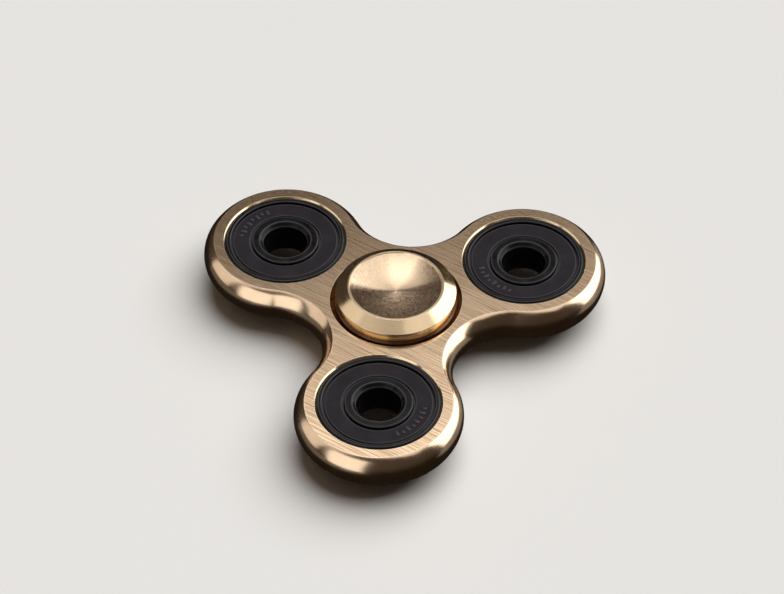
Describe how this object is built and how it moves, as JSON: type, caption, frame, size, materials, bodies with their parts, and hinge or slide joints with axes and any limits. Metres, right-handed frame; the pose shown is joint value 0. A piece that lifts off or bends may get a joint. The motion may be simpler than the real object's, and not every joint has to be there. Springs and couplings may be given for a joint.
{
  "type": "fidget spinner",
  "caption": "Three-lobed metal fidget spinner that turns on a centre ball bearing between two round finger caps, with a sealed bearing in each lobe.",
  "frame": {"origin": "on the spin axis, halfway through the frame's thickness", "axes": "+Z along the spin axis, -Y towards lobe 1, +X towards the side of lobe 2"},
  "size_m": [0.0738, 0.0679, 0.0138],
  "materials": {
    "brushed_gold": "champagne gold, faces brushed in straight lines, edge satin polished",
    "turned_gold": "gold, circular turned",
    "black_steel": "black oxide, glossy",
    "ball_steel": "mirror polished",
    "shield_steel": "satin",
    "nylon": "moulded nylon",
    "rubber": "smooth moulded rubber"
  },
  "bodies": {
    "hub": {"finger_cap_upper": "turned_gold", "finger_cap_lower": "turned_gold", "centre_inner_ring": "black_steel"},
    "frame": {"frame_body": "brushed_gold", "centre_outer_ring": "black_steel", "centre_shield_upper": "shield_steel", "centre_shield_lower": "shield_steel", "lobe_1_outer_ring": "black_steel", "lobe_1_seal_upper": "rubber", "lobe_1_seal_lower": "rubber", "lobe_2_outer_ring": "black_steel", "lobe_2_seal_upper": "rubber", "lobe_2_seal_lower": "rubber", "lobe_3_outer_ring": "black_steel", "lobe_3_seal_upper": "rubber", "lobe_3_seal_lower": "rubber"},
    "centre_ball_set": {"centre_cage": "nylon", "centre_balls": "ball_steel"},
    "lobe_1_inner": {"lobe_1_inner_ring": "black_steel"},
    "lobe_1_ball_set": {"lobe_1_cage": "nylon", "lobe_1_balls": "ball_steel"},
    "lobe_2_inner": {"lobe_2_inner_ring": "black_steel"},
    "lobe_2_ball_set": {"lobe_2_cage": "nylon", "lobe_2_balls": "ball_steel"},
    "lobe_3_inner": {"lobe_3_inner_ring": "black_steel"},
    "lobe_3_ball_set": {"lobe_3_cage": "nylon", "lobe_3_balls": "ball_steel"}
  },
  "joints": [
    {"name": "frame_spin", "type": "hinge", "parent": "hub", "child": "frame", "pos_m": [0, 0, 0], "axis": [0, 0, 1], "continuous": true},
    {"name": "centre_ball_set_spin", "type": "hinge", "parent": "hub", "child": "centre_ball_set", "pos_m": [0, 0, 0], "axis": [0, 0, 1], "continuous": true},
    {"name": "lobe_1_inner_spin", "type": "hinge", "parent": "frame", "child": "lobe_1_inner", "pos_m": [0, -0.0253, 0], "axis": [0, 0, 1], "continuous": true},
    {"name": "lobe_1_ball_set_spin", "type": "hinge", "parent": "frame", "child": "lobe_1_ball_set", "pos_m": [0, -0.0253, 0], "axis": [0, 0, 1], "continuous": true},
    {"name": "lobe_2_inner_spin", "type": "hinge", "parent": "frame", "child": "lobe_2_inner", "pos_m": [0.02191, 0.01265, 0], "axis": [0, 0, 1], "continuous": true},
    {"name": "lobe_2_ball_set_spin", "type": "hinge", "parent": "frame", "child": "lobe_2_ball_set", "pos_m": [0.02191, 0.01265, 0], "axis": [0, 0, 1], "continuous": true},
    {"name": "lobe_3_inner_spin", "type": "hinge", "parent": "frame", "child": "lobe_3_inner", "pos_m": [-0.02191, 0.01265, 0], "axis": [0, 0, 1], "continuous": true},
    {"name": "lobe_3_ball_set_spin", "type": "hinge", "parent": "frame", "child": "lobe_3_ball_set", "pos_m": [-0.02191, 0.01265, 0], "axis": [0, 0, 1], "continuous": true}
  ],
  "couplings": [
    {"joint": "centre_ball_set_spin", "follows": "frame_spin", "ratio": 0.632},
    {"joint": "lobe_1_ball_set_spin", "follows": "lobe_1_inner_spin", "ratio": 0.368},
    {"joint": "lobe_2_ball_set_spin", "follows": "lobe_2_inner_spin", "ratio": 0.368},
    {"joint": "lobe_3_ball_set_spin", "follows": "lobe_3_inner_spin", "ratio": 0.368}
  ]
}
